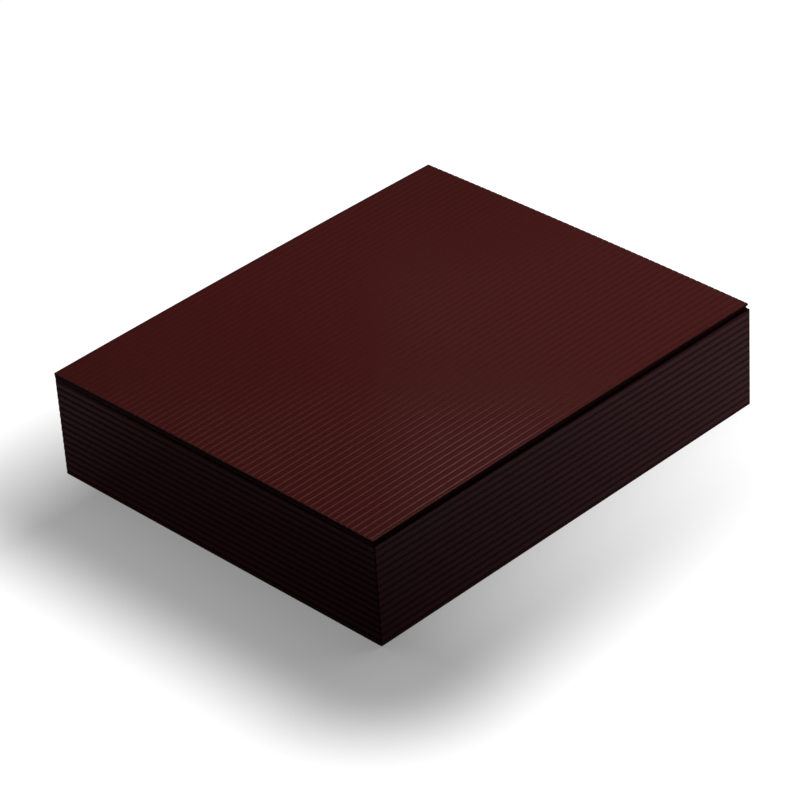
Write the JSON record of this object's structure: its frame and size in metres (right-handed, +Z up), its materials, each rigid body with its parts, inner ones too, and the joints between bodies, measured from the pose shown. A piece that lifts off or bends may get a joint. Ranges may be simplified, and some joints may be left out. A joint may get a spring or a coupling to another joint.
{
  "type": "disposable bento box",
  "caption": "Flat rectangular disposable bento box of laminated board, finely ribbed outside, with crossed dividers inside and a lid that lifts off.",
  "frame": {"origin": "middle of the underside, on the surface that the box stands on", "axes": "+Z up through the lid, X along the long walls with +X to the right, Y along the short walls with the front wall at -Y"},
  "size_m": [0.218, 0.182, 0.0498],
  "materials": {
    "ribbed_film": "satin",
    "foam_core": "matte",
    "smooth_film": "satin"
  },
  "bodies": {
    "box": {"front_wall_facing": "ribbed_film", "right_wall_facing": "ribbed_film", "back_wall_facing": "ribbed_film", "left_wall_facing": "ribbed_film", "front_wall_board": "foam_core", "right_wall_board": "foam_core", "back_wall_board": "foam_core", "left_wall_board": "foam_core", "base_board": "smooth_film", "long_divider": "smooth_film", "cross_divider": "smooth_film"},
    "lid": {"lid_facing": "ribbed_film", "lid_board": "foam_core", "lid_front_batten": "foam_core", "lid_back_batten": "foam_core", "lid_left_batten": "foam_core", "lid_right_batten": "foam_core"}
  },
  "joints": [
    {"name": "lid_lift", "type": "slide", "parent": "box", "child": "lid", "axis": [0, 0, 1], "range_m": [0, 0.08]}
  ]
}
